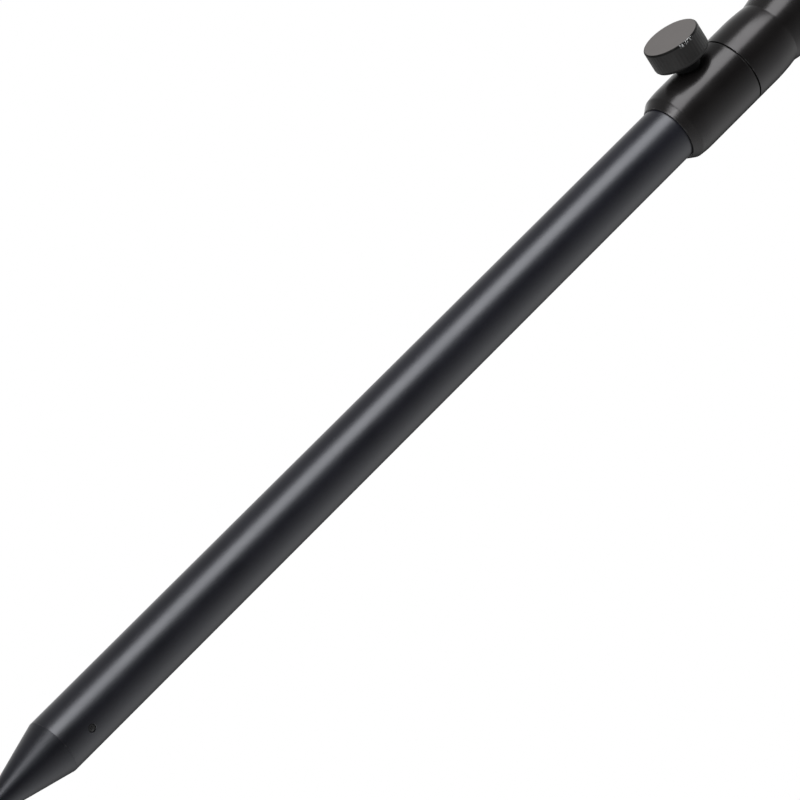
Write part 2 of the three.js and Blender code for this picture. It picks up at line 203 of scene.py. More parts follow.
class HeadSizes(bpy.types.PropertyGroup):
    spigot: length("Spigot", "Length of the head inside the inner tube", 0.016)
    lower_round: length("Lower round", "Rounding of the head's lower edge", 0.000096)
    curve: length("Curve", "Half the length of the curve above the straight side", 0.00465)
    neck: length("Neck", "Height of the neck above the head's lower edge", 0.0189)
    neck_inset: length("Neck inset", "How far the neck lies inside the straight side", 0.0007)
    flare: length("Flare", "Length of the flare above the neck", 0.007)
    flare_round: length("Flare round", "Rounding where the flare meets the band", 0.0018)
    rim_round: length("Rim round", "Rounding of the upper rim", 0.0012)
    washer_round: length("Washer round", "Rounding of the washer", 0.00008)
    insert_flange: length("Insert flange", "Thickness of the insert's flange", 0.0012)
    insert_wall: length("Insert wall", "Wall of the insert below its flange", 0.0018)
    insert_clear: length("Insert clear", "How far the insert's bore lies outside its thread's root", 0.0001)
    insert_foot: length("Insert foot", "Plain bore below the thread", 0.0006)
    insert_mouth: length("Insert mouth", "Depth of the countersink above the thread", 0.0007)
    insert_sink: length("Insert sink", "Width of the countersink", 0.0003)
    socket_depth: length("Socket depth", "Depth of the threaded socket", 0.015)
    socket_end: length("Socket end", "How far the head's bore goes on below the socket", 0.001)
    socket_radius: length("Socket radius", "Crest radius of the socket's thread", 0.0042)
    socket_pitch: length("Socket pitch", "Pitch of the socket's thread", 0.00127)
    socket_thread: length("Socket thread", "Depth of the socket's thread", 0.00056)


class Finishes(bpy.types.PropertyGroup):
    tube_black: colour("Tube black", "Anodised tube and point", (0.0018, 0.0019, 0.0048))
    collar_black: colour("Collar black", "Polished collar and head", (0.0055, 0.005, 0.005))
    knob_side: colour("Knob side", "The knob's knurled side", (0.0062, 0.0058, 0.0057))
    # Painted light: the knob's flat top gets a paler colour than its side, standing in for the light that
    # falls on it.
    knob_top_painted_light: colour("Knob top", "The knob's flat top", (0.0945, 0.088, 0.0855))
    aluminium: colour("Aluminium", "Bare aluminium", (0.66, 0.67, 0.68))
    steel: colour("Steel", "Machined steel", (0.42, 0.43, 0.44))
    # Partly the steel's own black and partly painted shade: so dark that the stud and the bush under the knob
    # read as shadow.
    black_steel: colour("Black steel", "Blackened steel", (0.004, 0.004, 0.0044))
    pin_steel: colour("Pin steel", "The point's blackened pin", (0.014, 0.014, 0.015))
    brass: colour("Brass", "Machined brass", (0.62, 0.44, 0.16))
    white_nylon: colour("White nylon", "Moulded guide pieces", (0.7, 0.68, 0.62))
    black_nylon: colour("Black nylon", "Moulded plug", (0.02, 0.02, 0.02))
    rubber: colour("Rubber", "Rings and washer", (0.012, 0.012, 0.012))
    tube_roughness: share("Tube roughness", "Roughness of the anodised tube", 0.36)
    point_roughness: share("Point roughness", "Roughness of the turned point", 0.38)
    collar_roughness: share("Collar roughness", "Roughness of the collar and the head", 0.25)
    knob_roughness: share("Knob roughness", "Roughness of the knob", 0.55)


class StageSettings(bpy.types.PropertyGroup):
    azimuth: angle("Azimuth", "Where the camera stands round the stick", -26.37)
    elevation: angle("Elevation", "The camera's height, below the floor where negative", -23.692)
    roll: angle("Roll", "The camera's turn about its own axis", 45.105)
    distance: length("Distance", "From the camera to the aimed point", 1.899)
    aim: length("Aim", "Height of the aimed point on the stick's axis", 0.192533)
    aim_left: length("Aim left", "How far the aimed point lies left of the axis in the picture", 0.000206)
    aim_up: length("Aim up", "How far the aimed point lies above it", 0.000203)
    lens: FloatProperty(name="Lens", description="Focal length", default=281.5, min=1, unit="CAMERA")
    key_turn: angle("Key turn", "Where the softbox stands, from the side that faces the camera", -41)
    key_rise: angle("Key rise", "The softbox's height above the horizon", 18.8)
    key_lean: angle("Key lean", "How far the softbox leans over to the left", 17)
    key_distance: length("Key distance", "From the softbox and the low reflector to the stick", 0.9)
    key_width: length("Key width", "Width of the softbox", 0.52)
    key_height: length("Key height", "Height of the softbox", 1.02)
    key_power: power("Key power", "Power of the softbox", 8.3)
    low_turn: angle("Low turn", "Where the low reflector stands, counted like the softbox's turn", -47)
    low_rise: angle("Low rise", "The low reflector's height, below the horizon where negative", -37)
    low_width: length("Low width", "Width of the low reflector", 0.45)
    low_height: length("Low height", "Height of the low reflector", 0.36)
    low_power: power("Low power", "Power of the low reflector", 7.6)
    top_place: place("Top place", "From the aimed point to the lamp overhead", (0.1, 0.25, 1.1))
    top_size: length("Top size", "Width and height of the lamp overhead", 0.7)
    top_power: power("Top power", "Power of the lamp overhead", 5)
    tent_radius: length("Tent radius", "Radius of the surround that reflections see", 1.3)
    tent_depth: length("Tent depth", "How far the surround goes below the stick's tip", 1.2)
    tent_height: length("Tent height", "How far it goes above the stick's tip", 2.2)
    ambient: share("Ambient", "Strength of the world's plain light", 0.15)
    floor_radius: length("Floor radius", "Radius of the floor", 0.5)
    floor_grey: colour("Floor grey", "Colour of the floor", (0.82, 0.82, 0.82))
    floor_glow: share("Floor glow", "Light that the camera sees on the floor besides the lamps'", 0.42)
    fade_start: share("Fade start", "Where the floor begins to fade, as a share of its radius", 0.25)
    fade_end: share("Fade end", "Where it has faded into the background, as a share of its radius", 0.98)


def box_of(name):
    """Radius of a round CAD node, and its lowest and highest point."""
    low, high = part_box(name)
    return high.y, low.z, high.z


def pin_of(name):
    """Radius of a cross pin, half its length, and its height."""
    low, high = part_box(name)
    return (high.z - low.z) / 2, high.y, (low.z + high.z) / 2


def screw_box_of(name):
    """Radius of a CAD node on the thumbscrew's axis, and how far out it starts and ends."""
    low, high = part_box(name)
    return high.y, -high.x, -low.x


def screw_height():
    """Height of the thumbscrew's axis."""
    low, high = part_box("thumb_knob")
    return (low.z + high.z) / 2


def along_screw():
    """The matrix that lays a piece built along Z on the thumbscrew's axis."""
    return Matrix.Translation((0, 0, screw_height())) @ Matrix.Rotation(math.radians(-90), 4, "Y")


def across(height, side=1, out=0):
    """The matrix of a hole along Y at a height, seen from -Y or from the other side."""
    turned_over = Matrix.Rotation(side * math.radians(90), 4, "X")
    return Matrix.Translation((0, -side * out, height)) @ turned_over


def beside(corner, other):
    """A point beside a rounded corner on the way to another one, or none where there is no room for it."""
    away = math.dist(corner[:2], other[:2])
    hold = HOLD_SHARE * corner[2] + HOLD_GAP
    if not corner[2] or away <= hold + HOLD_SHARE * other[2] + HOLD_ROOM:
        return []
    part = hold / away
    return [(corner[0] + part * (other[0] - corner[0]), corner[1] + part * (other[1] - corner[1]), 0)]


def held(points, closed):
    """The points, and those beside rounded corners that keep the shading of straight parts straight."""
    kept = []
    for i, point in enumerate(points):
        if closed or i > 0:
            kept += beside(point, points[i - 1])
        kept.append(point)
        if closed or i + 1 < len(points):
            kept += beside(point, points[(i + 1) % len(points)])
    return kept


def outline(bm, points, steps, closed=False):
    """A wire in the XZ plane through (radius, height, rounding) points, its corners rounded by bevels."""
    before = set(bm.verts)
    points = held(points, closed)
    verts = [bm.verts.new((radius, 0, height)) for radius, height, _ in points]
    ends = verts[1:] + verts[:1] if closed else verts[1:]
    for first, second in zip(verts, ends):
        bm.edges.new((first, second))
    for rounding in sorted({point[2] for point in points} - {0}):
        corners = [vert for vert, point in zip(verts, points) if point[2] == rounding]
        bmesh.ops.bevel(
            bm,
            geom=corners,
            offset=rounding,
            offset_type="OFFSET",
            segments=steps,
            profile=0.5,
            affect="VERTICES",
            material=-1,
        )
    made = [vert for vert in bm.verts if vert not in before]
    return made + [edge for edge in bm.edges if edge.verts[0] not in before]


def spin(bm, wire, steps, rise=0):
    """Spins a wire a full turn about Z, rising as it goes where a rise is given."""
    bmesh.ops.spin(
        bm,
        geom=wire,
        cent=(0, 0, 0),
        axis=(0, 0, 1),
        dvec=(0, 0, rise / steps),
        angle=2 * math.pi,
        steps=steps,
        use_merge=not rise,
        use_normal_flip=False,
        use_duplicate=False,
    )
    bmesh.ops.remove_doubles(bm, verts=bm.verts, dist=MERGE)


def turned(points, corner_steps, steps, closed=False):
    """A bmesh turned about Z from an outline."""
    bm = bmesh.new()
    spin(bm, outline(bm, points, corner_steps, closed), steps)
    return bm


def ring(bore, radius, low, high, lower_round, upper_round):
    """The closed outline of a tube or a ring, with the roundings of its lower and upper corners."""
    return [
        (bore, low, lower_round),
        (radius, low, lower_round),
        (radius, high, upper_round),
        (bore, high, upper_round),
    ]


def threaded(crest, root, pitch, low, high, steps):
    """A bmesh of the surface of a right-hand thread between two heights, open at both ends."""
    bm = bmesh.new()
    # Begins two turns lower and is cut off at both heights
    bottom = low - 2 * pitch
    profile = []
    for i in range(math.ceil((high - bottom) / pitch) + 1):
        for radius, shares in ((root, ROOT_SHARES), (crest, CREST_SHARES)):
            profile += [(radius, bottom + (i + along) * pitch, 0) for along in shares]
    spin(bm, outline(bm, profile, 1), steps, pitch)
    for height, direction in ((low, -1), (high, 1)):
        bmesh.ops.bisect_plane(
            bm,
            geom=bm.verts[:] + bm.edges[:] + bm.faces[:],
            dist=MERGE,
            plane_co=(0, 0, height),
            plane_no=(0, 0, direction),
            clear_outer=True,
        )
    return bm


def bridge(bm, height):
    """Joins the two open rims that lie at one height."""
    rims = [e for e in bm.edges if e.is_boundary and all(abs(v.co.z - height) < 2 * MERGE for v in e.verts)]
    bmesh.ops.bridge_loops(bm, edges=rims)


def mesh_of(name, bm):
    """Makes a mesh of a bmesh."""
    mesh = bpy.data.meshes.new(name)
    bm.to_mesh(mesh)
    bm.free()
    return mesh


def linked(name, data):
    """A new object in the scene."""
    made = bpy.data.objects.new(name, data)
    bpy.context.scene.collection.objects.link(made)
    return made


def smooth(mesh):
    """Smooth shading but for the sharp edges."""
    mesh.shade_smooth()
    mesh.set_sharp_from_angle(angle=SHARP)


def test_closed(name, bm):
    """Stops the script where a piece is open."""
    if any(not edge.is_manifold for edge in bm.edges):
        raise RuntimeError(f"{name} isn't closed")


def finished(name, bm, body, material, stands_for, matrix=None):
    """Makes a piece of a closed bmesh, laid in its place, and ties it to the frame."""
    bmesh.ops.remove_doubles(bm, verts=bm.verts, dist=MERGE)
    bmesh.ops.recalc_face_normals(bm, faces=bm.faces)
    test_closed(name, bm)
    mesh = mesh_of(name, bm)
    if matrix is not None:
        mesh.transform(matrix)
    smooth(mesh)
    mesh.materials.append(material)
    piece = linked(name, mesh)
    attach(piece, body)
    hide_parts(stands_for)
    return piece


def recoat(name, material):
    """Gives a CAD node that stays in the scene its material."""
    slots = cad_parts[name].data.materials
    slots.clear()
    slots.append(material)


def drill(piece, holes):
    """Drills round or conical holes, each (inner radius, outer radius, length, matrix), with Booleans."""
    drills = []
    for inner, outer, depth, matrix in holes:
        bm = bmesh.new()
        bmesh.ops.create_cone(
            bm, cap_ends=True, segments=HOLE_STEPS, radius1=inner, radius2=outer, depth=depth, matrix=matrix
        )
        drills.append(linked("drill", mesh_of("drill", bm)))
        modifier = piece.modifiers.new("Drill", "BOOLEAN")
        modifier.operation = "DIFFERENCE"
        modifier.solver = "EXACT"
        modifier.object = drills[-1]
    evaluated = piece.evaluated_get(bpy.context.evaluated_depsgraph_get())
    spent, drilled = [piece.data], bpy.data.meshes.new_from_object(evaluated)
    piece.modifiers.clear()
    piece.data = drilled
    for cutter in drills:
        spent.append(cutter.data)
        bpy.data.objects.remove(cutter)
    for mesh in spent:
        bpy.data.meshes.remove(mesh)
    smooth(drilled)
    bm = bmesh.new()
    bm.from_mesh(drilled)
    test_closed(piece.name, bm)
    bm.free()


def bush_hole(sizes, reach):
    """The hole of the thumbscrew's bush through one side of a tube."""
    radius = screw_box_of("screw_bush")[0] + sizes.bond_gap
    return radius, radius, 2 * reach, along_screw() @ Matrix.Translation((0, 0, reach))


def pin_hole(pin, sizes):
    """The hole of a cross pin."""
    pin_radius, half, height = pin_of(pin)
    radius = pin_radius + sizes.bond_gap
    return radius, radius, 4 * half, across(height)


def node(tree, kind, inputs=None, **settings):
    """A new shader node, with inputs set to values or linked from sockets."""
    made = tree.nodes.new(kind)
    for name, value in settings.items():
        setattr(made, name, value)
    for name, value in (inputs or {}).items():
        if isinstance(value, bpy.types.NodeSocket):
            tree.links.new(value, made.inputs[name])
        else:
            made.inputs[name].default_value = value
    return made


def maths(tree, operation, *values, **settings):
    """The result of an operation on numbers."""
    return node(tree, "ShaderNodeMath", dict(enumerate(values)), operation=operation, **settings).outputs[0]


def vectors(tree, operation, *values):
    """The Vector and Value sockets of an operation on vectors."""
    return node(tree, "ShaderNodeVectorMath", dict(enumerate(values)), operation=operation).outputs


def split(tree, vector):
    """A vector's X, Y and Z sockets."""
    return node(tree, "ShaderNodeSeparateXYZ", {"Vector": vector}).outputs


def noise(tree, vector, scale, detail, roughness=0.5, dimensions="3D"):
    """Smooth noise."""
    inputs = {"Vector": vector, "Scale": scale, "Detail": detail, "Roughness": roughness}
    return node(tree, "ShaderNodeTexNoise", inputs, noise_dimensions=dimensions).outputs["Fac"]


def ranged(tree, value, low, high, start=0.3, end=0.7):
    """A value mapped to a range, by default from where most noise lies."""
    inputs = {"Value": value, "From Min": start, "From Max": end, "To Min": low, "To Max": high}
    return node(tree, "ShaderNodeMapRange", inputs).outputs["Result"]


def faded(tree, value, start, end):
    """A mask that is 1 below a start and 0 above an end."""
    return ranged(tree, value, 1.0, 0.0, start, end)


def mixed(tree, mask, first, second):
    """Two colours, each given as a colour or a socket, mixed by a mask."""
    made = node(tree, "ShaderNodeMix", {"Factor": mask}, data_type="RGBA")
    for socket, value in ((made.inputs["A"], first), (made.inputs["B"], second)):
        if isinstance(value, bpy.types.NodeSocket):
            tree.links.new(value, socket)
        else:
            socket.default_value = (*value, 1.0)
    return made.outputs["Result"]


def shade(flat, factor):
    """A colour made lighter or darker."""
    return tuple(factor * channel for channel in flat)


def group_tree(name, inputs, outputs):
    """A new shader node group on a vector and numbers, and the sockets it is given and puts out."""
    tree = bpy.data.node_groups.new(name, "ShaderNodeTree")
    tree.interface.new_socket("Vector", in_out="INPUT", socket_type="NodeSocketVector")
    for label, value in inputs.items():
        tree.interface.new_socket(label, in_out="INPUT", socket_type="NodeSocketFloat").default_value = value
    for label in outputs:
        tree.interface.new_socket(label, in_out="OUTPUT", socket_type="NodeSocketFloat")
    return tree, tree.nodes.new("NodeGroupInput").outputs, tree.nodes.new("NodeGroupOutput").inputs


def grain_group():
    """Fine lines along Z or round it, and the slow unevenness of a handled surface."""
    if GRAIN in bpy.data.node_groups:
        return bpy.data.node_groups[GRAIN]
    values = {"Line Density": 2500.0, "Handling Scale": 45.0}
    tree, given, out = group_tree(GRAIN, values, ("Drawn", "Turned", "Handling"))
    vector, density = given["Vector"], given["Line Density"]
    long = vectors(tree, "MULTIPLY", vector, (1.0, 1.0, 0.006))["Vector"]
    parts = split(tree, vector)
    flat = node(tree, "ShaderNodeCombineXYZ", {"X": parts["X"], "Y": parts["Y"]}).outputs[0]
    radius = vectors(tree, "LENGTH", flat)["Value"]
    rings = node(tree, "ShaderNodeCombineXYZ", {"X": radius, "Y": parts["Z"]}).outputs[0]
    tree.links.new(noise(tree, long, density, 2.0, 0.6), out["Drawn"])
    tree.links.new(noise(tree, rings, density, 2.0, 0.6, "2D"), out["Turned"])
    tree.links.new(noise(tree, vector, given["Handling Scale"], 4.0, 0.65), out["Handling"])
    return tree


def wear_group():
    """A broken mask along edges, where a finish has rubbed through."""
    if WEAR in bpy.data.node_groups:
        return bpy.data.node_groups[WEAR]
    values = {"Width": 0.0003, "Breakup Scale": 700.0, "Amount": 0.4}
    tree, given, out = group_tree(WEAR, values, ("Mask",))
    rounded = node(tree, "ShaderNodeBevel", {"Radius": given["Width"]}, samples=4).outputs[0]
    true = node(tree, "ShaderNodeNewGeometry").outputs["Normal"]
    facing = vectors(tree, "DOT_PRODUCT", rounded, true)["Value"]
    edge = ranged(tree, facing, 0.0, 1.0, start=0.998, end=0.93)
    chips = noise(tree, given["Vector"], given["Breakup Scale"], 3.0)
    worn = ranged(tree, chips, 0.0, 1.0, start=0.5, end=0.62)
    mask = maths(tree, "MULTIPLY", maths(tree, "MULTIPLY", edge, worn), given["Amount"])
    tree.links.new(mask, out["Mask"])
    return tree


def grain_of(tree, vector, density, handling):
    """The outputs of the machined grain, placed in a material with its own values."""
    inputs = {"Vector": vector, "Line Density": density, "Handling Scale": handling}
    return node(tree, "ShaderNodeGroup", inputs, node_tree=grain_group()).outputs


def wear_of(tree, vector, width, breakup, amount):
    """The mask of the edge wear, placed in a material with its own values."""
    inputs = {"Vector": vector, "Width": width, "Breakup Scale": breakup, "Amount": amount}
    return node(tree, "ShaderNodeGroup", inputs, node_tree=wear_group()).outputs["Mask"]


def handled(tree, grain, flat, factor):
    """A colour that drifts towards a lighter or darker one with the handling."""
    return mixed(tree, ranged(tree, grain["Handling"], 0.0, 1.0), flat, shade(flat, factor))


def uneven(tree, grain, roughness, drift):
    """A roughness that drifts both ways with the handling."""
    return ranged(tree, grain["Handling"], roughness - drift, roughness + drift)


def new_material(name):
    """An empty node material, its tree and the socket of its surface."""
    material = bpy.data.materials.new(name)
    material.use_nodes = True
    tree = material.node_tree
    tree.nodes.clear()
    return material, tree, tree.nodes.new("ShaderNodeOutputMaterial").inputs["Surface"]


def object_place(tree, centre=(0, 0, 0), rotation=(0, 0, 0)):
    """Object coordinates, centred and turned on a piece."""
    coords = node(tree, "ShaderNodeTexCoord").outputs["Object"]
    inputs = {"Vector": coords, "Location": centre, "Rotation": rotation}
    return node(tree, "ShaderNodeMapping", inputs, vector_type="TEXTURE").outputs[0]


def surfaced(tree, surface, height, relief, depth, inputs):
    """Ends a material with its relief and its shader."""
    bump = node(tree, "ShaderNodeBump", {"Strength": relief, "Distance": depth, "Height": height})
    shader = node(tree, "ShaderNodeBsdfPrincipled", {**inputs, "Normal": bump.outputs[0]})
    tree.links.new(shader.outputs[0], surface)


def anodised(name, black, roughness, ior, tint, lines, relief, worn):
    """A black coat on metal: an even dark layer, fine machining lines, handled patches and worn edges."""
    if name in bpy.data.materials:
        return bpy.data.materials[name]
    material, tree, surface = new_material(name)
    vector = object_place(tree)
    grain = grain_of(tree, vector, density=2600.0, handling=38.0)
    wear = wear_of(tree, vector, width=0.00025, breakup=900.0, amount=worn)
    coat = handled(tree, grain, black, factor=1.5)
    inputs = {
        "Base Color": mixed(tree, wear, coat, bpy.context.scene.stick_finishes.aluminium),
        "Metallic": wear,
        "Roughness": uneven(tree, grain, roughness, drift=0.035),
        "IOR": ior,
        "Specular Tint": (*tint, 1.0),
    }
    surfaced(tree, surface, grain[lines], relief, LINE_DEPTH, inputs)
    return material


def bare_metal(name, metal, roughness, lines, relief):
    """Bare metal with its machining lines and a faint film of handling."""
    if name in bpy.data.materials:
        return bpy.data.materials[name]
    material, tree, surface = new_material(name)
    grain = grain_of(tree, object_place(tree), density=3200.0, handling=60.0)
    lined = maths(tree, "ADD", grain[lines], grain["Handling"])
    inputs = {
        "Base Color": handled(tree, grain, metal, factor=0.8),
        "Metallic": 1.0,
        "Roughness": ranged(tree, lined, roughness - 0.08, roughness + 0.1, start=0.7, end=1.3),
    }
    surfaced(tree, surface, grain[lines], relief, LINE_DEPTH, inputs)
    return material


def moulded(name, plastic, roughness, relief, ior):
    """Moulded nylon or rubber: a fine skin and slow changes of gloss."""
    if name in bpy.data.materials:
        return bpy.data.materials[name]
    material, tree, surface = new_material(name)
    vector = object_place(tree)
    grain = grain_of(tree, vector, density=2000.0, handling=120.0)
    skin = noise(tree, vector, scale=5200.0, detail=1.0)
    inputs = {
        "Base Color": handled(tree, grain, plastic, factor=0.85),
        "Roughness": uneven(tree, grain, roughness, drift=0.06),
        "IOR": ior,
    }
    surfaced(tree, surface, skin, relief, SKIN_DEPTH, inputs)
    return material


def near(tree, vector, spot, start, end):
    """A mask that fades out round a spot."""
    return faded(tree, vectors(tree, "DISTANCE", vector, spot)["Value"], start, end)


def knob_wear(tree, vector, across_x, outward):
    """The mask of the knob's bare metal: short cuts in its side below the rim, and by them a pale rim line
    that is partly rubbed wear and partly a painted highlight.
    """
    corner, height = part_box("thumb_knob")[0], screw_height()
    shallow = faded(tree, across_x, corner.x + 0.0009, corner.x + 0.0014)
    spot = (corner.x + 0.0006, corner.y + 0.0001, height - 0.0014)
    cut_patch = near(tree, vector, spot, 0.0022, 0.003)
    off_top = faded(tree, outward, 0.85, 0.97)
    strokes = vectors(tree, "MULTIPLY", vector, (0.3, 1.0, 1.0))["Vector"]
    cuts = ranged(tree, noise(tree, strokes, scale=2300.0, detail=1.0), 0.0, 0.65, start=0.54, end=0.59)
    patch = maths(tree, "MULTIPLY", cut_patch, off_top)
    scratches = maths(tree, "MULTIPLY", maths(tree, "MULTIPLY", patch, cuts), shallow)
    # Partly wear and partly a painted highlight: a pale line along the rim near the cuts.
    rim_wear_and_highlight = near(tree, vector, (corner.x, corner.y + 0.0007, height - 0.0036), 0.003, 0.0045)
    wear = wear_of(tree, vector, width=0.0002, breakup=900.0, amount=0.5)
    return maths(tree, "MAXIMUM", scratches, maths(tree, "MULTIPLY", rim_wear_and_highlight, wear))


def knob_finish(finishes):
    """The knob's matt coat: a handled top painted paler as painted light, a darker side, a band by the rim
    painted dark as painted shade, and its wear.
    """
    name = "Knob Matt Coat"
    if name in bpy.data.materials:
        return bpy.data.materials[name]
    material, tree, surface = new_material(name)
    turned_over = object_place(tree, (0, 0, screw_height()), (0, math.radians(-90), 0))
    grain = grain_of(tree, turned_over, density=2400.0, handling=160.0)
    vector = object_place(tree)
    across_x = split(tree, vector)["X"]
    normal = node(tree, "ShaderNodeNewGeometry").outputs["Normal"]
    outward = vectors(tree, "DOT_PRODUCT", normal, (-1.0, 0.0, 0.0))["Value"]
    # Painted light: the mask of the knob's flat top, which gets the paler colour.
    lit_top_mask = ranged(tree, outward, 0.0, 1.0, start=0.93, end=0.995)
    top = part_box("thumb_knob")[0].x
    # Painted shade: the band of the side next to the top gets a darker colour and less reflection, standing
    # in for the shade along the rim.
    rim_shade_mask = faded(tree, across_x, top + 0.0005, top + 0.0008)
    side_colour = tuple(finishes.knob_side)
    side = mixed(tree, rim_shade_mask, handled(tree, grain, side_colour, factor=1.25), shade(side_colour, 0.3))
    # Painted light: the paler colour of the top.
    painted_light_cap = handled(tree, grain, tuple(finishes.knob_top_painted_light), factor=1.12)
    # Painted shade: the rim band's lower specular level, which takes reflection off it.
    unlit = maths(tree, "SUBTRACT", rim_shade_mask, lit_top_mask, use_clamp=True)
    wear = knob_wear(tree, vector, across_x, outward)
    inputs = {
        "Base Color": mixed(tree, wear, mixed(tree, lit_top_mask, side, painted_light_cap), tuple(finishes.aluminium)),
        "Roughness": uneven(tree, grain, finishes.knob_roughness, drift=0.05),
        "IOR": 1.5,
        "Specular IOR Level": ranged(tree, unlit, 0.45, 0.12, start=0.0, end=1.0),
    }
    surfaced(tree, surface, grain["Turned"], 0.25, LINE_DEPTH, inputs)
    return material


def tube_coat(finishes, lines, name, roughness):
    """The satin black of the tube and the point, faintly blue in its reflections."""
    black, tint = tuple(finishes.tube_black), (0.92, 0.94, 1.0)
    return anodised(name, black, roughness, ior=1.68, tint=tint, lines=lines, relief=0.08, worn=0.08)


def collar_coat(finishes):
    """The polished black of the collar and the head."""
    black, tint = tuple(finishes.collar_black), (1.0, 0.98, 1.0)
    roughness = finishes.collar_roughness
    return anodised("Polished Black", black, roughness, 1.47, tint, "Turned", relief=0.06, worn=0.1)


def blackened(finishes):
    """The dull oiled black of the stud and its bush, also a painted shade: near black and weakly reflecting,
    so that they read as the shadow under the knob.
    """
    black = tuple(finishes.black_steel)
    return anodised("Blackened Steel Painted Shade", black, 0.55, 1.22, WHITE, "Turned", relief=0.1, worn=0.0)


def pin_coat(finishes):
    """The dark oxide of the point's pin."""
    black = tuple(finishes.pin_steel)
    return anodised("Blackened Pin", black, 0.65, 1.4, WHITE, "Turned", relief=0.1, worn=0.0)


def rubber_of(finishes):
    """The matt rubber of the rings and the washer."""
    return moulded("Rubber", tuple(finishes.rubber), roughness=0.6, relief=0.2, ior=1.25)


def nylon_of(name, plastic):
    """The nylon of the guide pieces or the plug."""
    return moulded(name, tuple(plastic), roughness=0.5, relief=0.15, ior=1.46)


class BANKSTICK_OT_ground_point(bpy.types.Operator):
    """Turns the ground point, a cone with a blunt tip and a grooved spigot, and coats its seal"""

    bl_idname = "bank_stick.ground_point"
    bl_label = "Ground Point"

    def execute(self, context):
        sizes, finishes = context.scene.stick_sizes, context.scene.stick_finishes
        radius, low, high = box_of("ground_point")
        base = high - sizes.spigot
        tip = radius - (base - low) * math.tan(sizes.cone)
        spigot = radius - sizes.tube_wall - sizes.bond_gap
        seal_radius, seal_low, seal_high = box_of("point_seal")
        floor = seal_radius - (seal_high - seal_low) - sizes.bond_gap
        groove_low, groove_high = seal_low - sizes.bond_gap, seal_high + sizes.bond_gap
        points = [
            (0, low, 0),
            (tip, low, sizes.tip_round),
            (radius, base, sizes.seam_round),
            (spigot, base, 0),
            (spigot, groove_low, 0),
            (floor, groove_low, 0),
            (floor, groove_high, 0),
            (spigot, groove_high, 0),
            (spigot, high, sizes.spigot_round),
            (0, high, 0),
        ]
        bm = turned(points, sizes.corner_steps, sizes.round_steps)
        coat = tube_coat(finishes, "Turned", "Satin Black Turned", finishes.point_roughness)
        piece = finished("point_cone", bm, "ground_section", coat, "ground_point")
        drill(piece, [pin_hole("point_pin", sizes)])
        recoat("point_seal", rubber_of(finishes))
        return {"FINISHED"}


class BANKSTICK_OT_outer_tube(bpy.types.Operator):
    """Draws the outer tube, with the holes of the point's pin and of the thumbscrew's bush"""

    bl_idname = "bank_stick.outer_tube"
    bl_label = "Outer Tube"

    def execute(self, context):
        sizes, finishes = context.scene.stick_sizes, context.scene.stick_finishes
        radius, _, high = box_of("outer_tube")
        start = box_of("ground_point")[2] - sizes.spigot + sizes.point_seam
        points = ring(radius - sizes.tube_wall, radius, start, high, sizes.seam_round, sizes.tube_round)
        bm = turned(points, sizes.corner_steps, sizes.round_steps, closed=True)
        coat = tube_coat(finishes, "Drawn", "Satin Black Drawn", finishes.tube_roughness)
        piece = finished("tube_outer", bm, "ground_section", coat, "outer_tube")
        hole, sink = pin_hole("point_pin", sizes), sizes.pin_sink
        height = pin_of("point_pin")[2]
        cone = (hole[0] - sink / 2, hole[0] + 5 * sink / 2, 3 * sink)
        # Turned by half a step, so that no facet lines up with the hole's
        half_step = Matrix.Rotation(math.pi / HOLE_STEPS, 4, "Z")
        sinks = [(*cone, across(height, side, radius) @ half_step) for side in (1, -1)]
        drill(piece, [hole, *sinks, bush_hole(sizes, radius)])
        return {"FINISHED"}


class BANKSTICK_OT_cross_pins(bpy.types.Operator):
    """Turns the point's pin with its dished ends, and the plain pins of the plug and the head"""

    bl_idname = "bank_stick.cross_pins"
    bl_label = "Cross Pins"

    def execute(self, context):
        sizes, finishes = context.scene.stick_sizes, context.scene.stick_finishes
        self.pin("pin_point", "point_pin", "ground_section", pin_coat(finishes), "black_steel", sizes, True)
        steel = bare_metal("Machined Steel", tuple(finishes.steel), 0.32, "Turned", relief=0.1)
        for name, cad in (("pin_plug", "plug_pin"), ("pin_head", "head_pin")):
            self.pin(name, cad, "inner_section", steel, "steel", sizes, False)
        return {"FINISHED"}

    def pin(self, name, cad, body, coat, slot, sizes, dished):
        """Turns one pin from its near end and the mirror of that, and lays it across the stick."""
        radius, half, height = pin_of(cad)
        end = [(0, -half, 0)]
        if dished:
            floor = sizes.pin_dish - half
            end = [(0, floor, 0), (sizes.pin_flat, floor, 0), (radius - 3 * sizes.edge_break, -half, 0)]
        end.append((radius, -half, 2 * sizes.edge_break))
        far = [(reach, -along, rounding) for reach, along, rounding in reversed(end)]
        bm = turned(end + far, sizes.corner_steps, HOLE_STEPS)
        finished(name, bm, body, coat, cad, across(height))


class BANKSTICK_OT_locking_collar(bpy.types.Operator):
    """Turns the collar: a rounded shoulder below, and a lip above over the wiper ring"""

    bl_idname = "bank_stick.locking_collar"
    bl_label = "Locking Collar"

    def execute(self, context):
        sizes, collar = context.scene.stick_sizes, context.scene.collar_sizes
        radius, low, high = box_of("locking_collar")
        bore = box_of("outer_tube")[0] + sizes.bond_gap
        lip_bore = box_of("inner_tube")[0] + collar.lip_gap
        points = [
            (bore, low, 0),
            (bore + collar.foot, low, collar.foot_round),
            (radius - collar.crease_inset, low + collar.crease, collar.crease_round),
            (radius, low + collar.rise, collar.rise_round),
            (radius, high, sizes.edge_break),
            (lip_bore, high, sizes.edge_break),
            (lip_bore, high - collar.lip, 0),
            (bore, high - collar.lip, 0),
        ]
        bm = turned(points, 2 * sizes.corner_steps, sizes.round_steps, closed=True)
        coat = collar_coat(context.scene.stick_finishes)
        piece = finished("collar_body", bm, "ground_section", coat, "locking_collar")
        drill(piece, [bush_hole(sizes, radius)])
        return {"FINISHED"}


